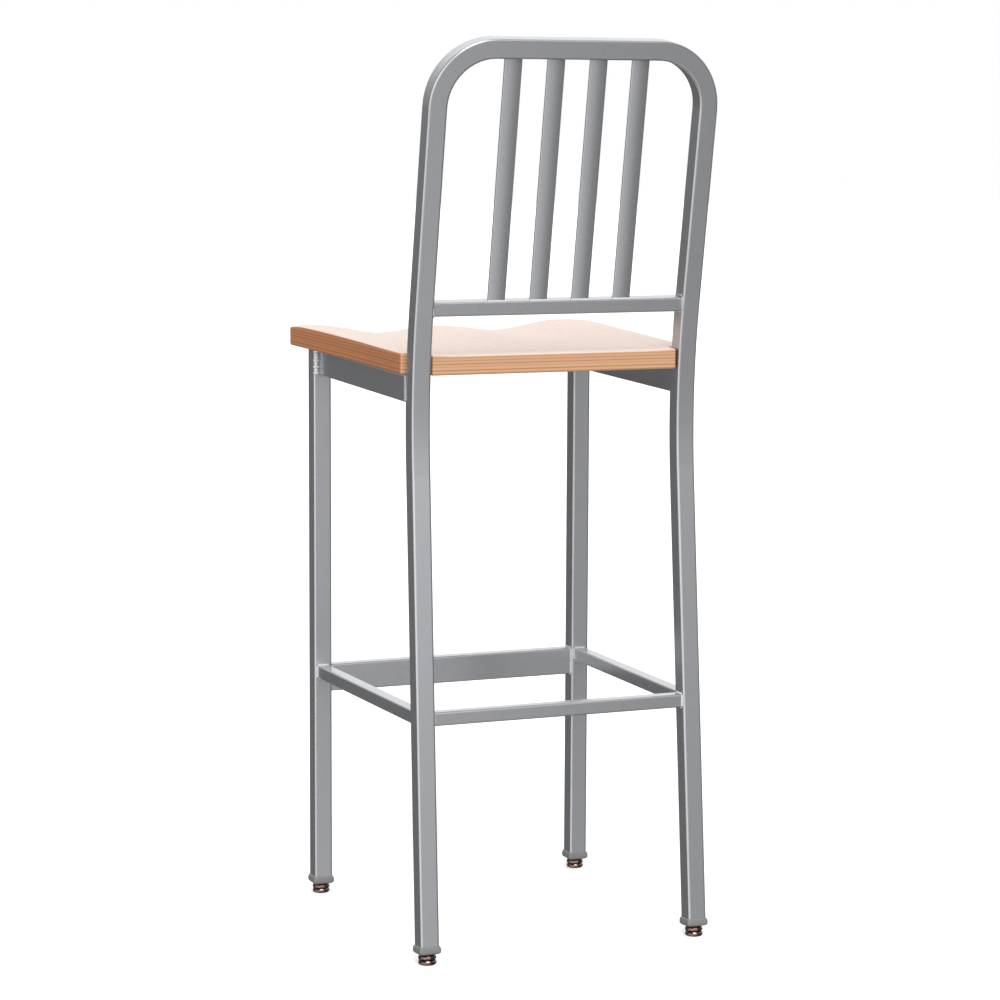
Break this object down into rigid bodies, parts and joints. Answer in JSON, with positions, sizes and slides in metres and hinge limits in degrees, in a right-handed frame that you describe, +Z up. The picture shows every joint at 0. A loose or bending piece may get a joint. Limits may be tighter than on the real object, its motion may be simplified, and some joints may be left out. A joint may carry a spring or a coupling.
{
  "type": "bar stool with footrest",
  "caption": "Bar-height stool: square-tube frame with a slatted, raked hoop back, a footrest ring, a carved plywood seat and swivelling, levelling glides.",
  "frame": {"origin": "on the floor, below the middle of the whole stool", "axes": "+Z up; the sitter faces -Y, so the back leans towards +Y; +X is the sitter's left"},
  "size_m": [0.4394, 0.5104, 1.1871],
  "materials": {
    "silver_coat": "satin silver powder coat",
    "seat_plywood": "clear satin lacquer on pale plywood, with the layers showing at the edges",
    "cap_plastic": "grey moulded plastic",
    "dark_nickel": "polished dark nickel",
    "zinc_steel": "zinc plated",
    "nylon": "natural nylon"
  },
  "bodies": {
    "frame": {"rear_frame_tube": "silver_coat", "front_leg_left": "silver_coat", "front_leg_right": "silver_coat", "footrest_rail": "silver_coat", "rear_stretcher": "silver_coat", "side_stretcher_left": "silver_coat", "side_stretcher_right": "silver_coat", "seat_rail_left": "silver_coat", "seat_rail_right": "silver_coat", "seat_rail_front": "silver_coat", "lower_back_rail": "silver_coat", "back_slat_1": "silver_coat", "back_slat_2": "silver_coat", "back_slat_3": "silver_coat", "back_slat_4": "silver_coat", "seat_panel": "seat_plywood", "seat_tab_front_left": "silver_coat", "seat_tab_front_right": "silver_coat", "seat_tab_rear_left": "silver_coat", "seat_tab_rear_right": "silver_coat", "seat_screws": "zinc_steel", "leg_cap_front_left": "cap_plastic", "glide_bush_front_left": "zinc_steel", "leg_cap_front_right": "cap_plastic", "glide_bush_front_right": "zinc_steel", "leg_cap_rear_left": "cap_plastic", "glide_bush_rear_left": "zinc_steel", "leg_cap_rear_right": "cap_plastic", "glide_bush_rear_right": "zinc_steel"},
    "ball_front_left": {"glide_ball_seat_front_left": "nylon"},
    "stem_front_left": {"glide_stem_front_left": "dark_nickel"},
    "base_front_left": {"glide_base_front_left": "dark_nickel"},
    "ball_front_right": {"glide_ball_seat_front_right": "nylon"},
    "stem_front_right": {"glide_stem_front_right": "dark_nickel"},
    "base_front_right": {"glide_base_front_right": "dark_nickel"},
    "ball_rear_left": {"glide_ball_seat_rear_left": "nylon"},
    "stem_rear_left": {"glide_stem_rear_left": "dark_nickel"},
    "base_rear_left": {"glide_base_rear_left": "dark_nickel"},
    "ball_rear_right": {"glide_ball_seat_rear_right": "nylon"},
    "stem_rear_right": {"glide_stem_rear_right": "dark_nickel"},
    "base_rear_right": {"glide_base_rear_right": "dark_nickel"}
  },
  "joints": [
    {"name": "glide_lift_front_left", "type": "slide", "parent": "frame", "child": "ball_front_left", "axis": [0, 0, -1], "range_m": [0, 0.012]},
    {"name": "glide_turn_front_left", "type": "hinge", "parent": "ball_front_left", "child": "stem_front_left", "pos_m": [0.1958, -0.1847, 0.0044], "axis": [0, 0, -1], "range_deg": [0, 3457]},
    {"name": "glide_tilt_front_left", "type": "hinge", "parent": "ball_front_left", "child": "base_front_left", "pos_m": [0.1958, -0.1847, 0.0044], "axis": [0, 1, 0], "range_deg": [-11, 11]},
    {"name": "glide_lift_front_right", "type": "slide", "parent": "frame", "child": "ball_front_right", "axis": [0, 0, -1], "range_m": [0, 0.012]},
    {"name": "glide_turn_front_right", "type": "hinge", "parent": "ball_front_right", "child": "stem_front_right", "pos_m": [-0.1958, -0.1847, 0.0044], "axis": [0, 0, -1], "range_deg": [0, 3457]},
    {"name": "glide_tilt_front_right", "type": "hinge", "parent": "ball_front_right", "child": "base_front_right", "pos_m": [-0.1958, -0.1847, 0.0044], "axis": [0, 1, 0], "range_deg": [-11, 11]},
    {"name": "glide_lift_rear_left", "type": "slide", "parent": "frame", "child": "ball_rear_left", "axis": [0, 0.0724, -0.9974], "range_m": [0, 0.012]},
    {"name": "glide_turn_rear_left", "type": "hinge", "parent": "ball_rear_left", "child": "stem_rear_left", "pos_m": [0.1915, 0.21793, 0.0044], "axis": [0, 0.0724, -0.9974], "range_deg": [0, 3457]},
    {"name": "glide_tilt_rear_left", "type": "hinge", "parent": "ball_rear_left", "child": "base_rear_left", "pos_m": [0.1915, 0.21793, 0.0044], "axis": [1, 0, 0], "range_deg": [-6.8, 15.1]},
    {"name": "glide_lift_rear_right", "type": "slide", "parent": "frame", "child": "ball_rear_right", "axis": [0, 0.0724, -0.9974], "range_m": [0, 0.012]},
    {"name": "glide_turn_rear_right", "type": "hinge", "parent": "ball_rear_right", "child": "stem_rear_right", "pos_m": [-0.1915, 0.21793, 0.0044], "axis": [0, 0.0724, -0.9974], "range_deg": [0, 3457]},
    {"name": "glide_tilt_rear_right", "type": "hinge", "parent": "ball_rear_right", "child": "base_rear_right", "pos_m": [-0.1915, 0.21793, 0.0044], "axis": [1, 0, 0], "range_deg": [-6.8, 15.1]}
  ],
  "couplings": [
    {"joint": "glide_turn_front_left", "follows": "glide_lift_front_left", "rad_per_m": 5026.5},
    {"joint": "glide_turn_front_right", "follows": "glide_lift_front_right", "rad_per_m": 5026.5},
    {"joint": "glide_turn_rear_left", "follows": "glide_lift_rear_left", "rad_per_m": 5026.5},
    {"joint": "glide_turn_rear_right", "follows": "glide_lift_rear_right", "rad_per_m": 5026.5}
  ]
}
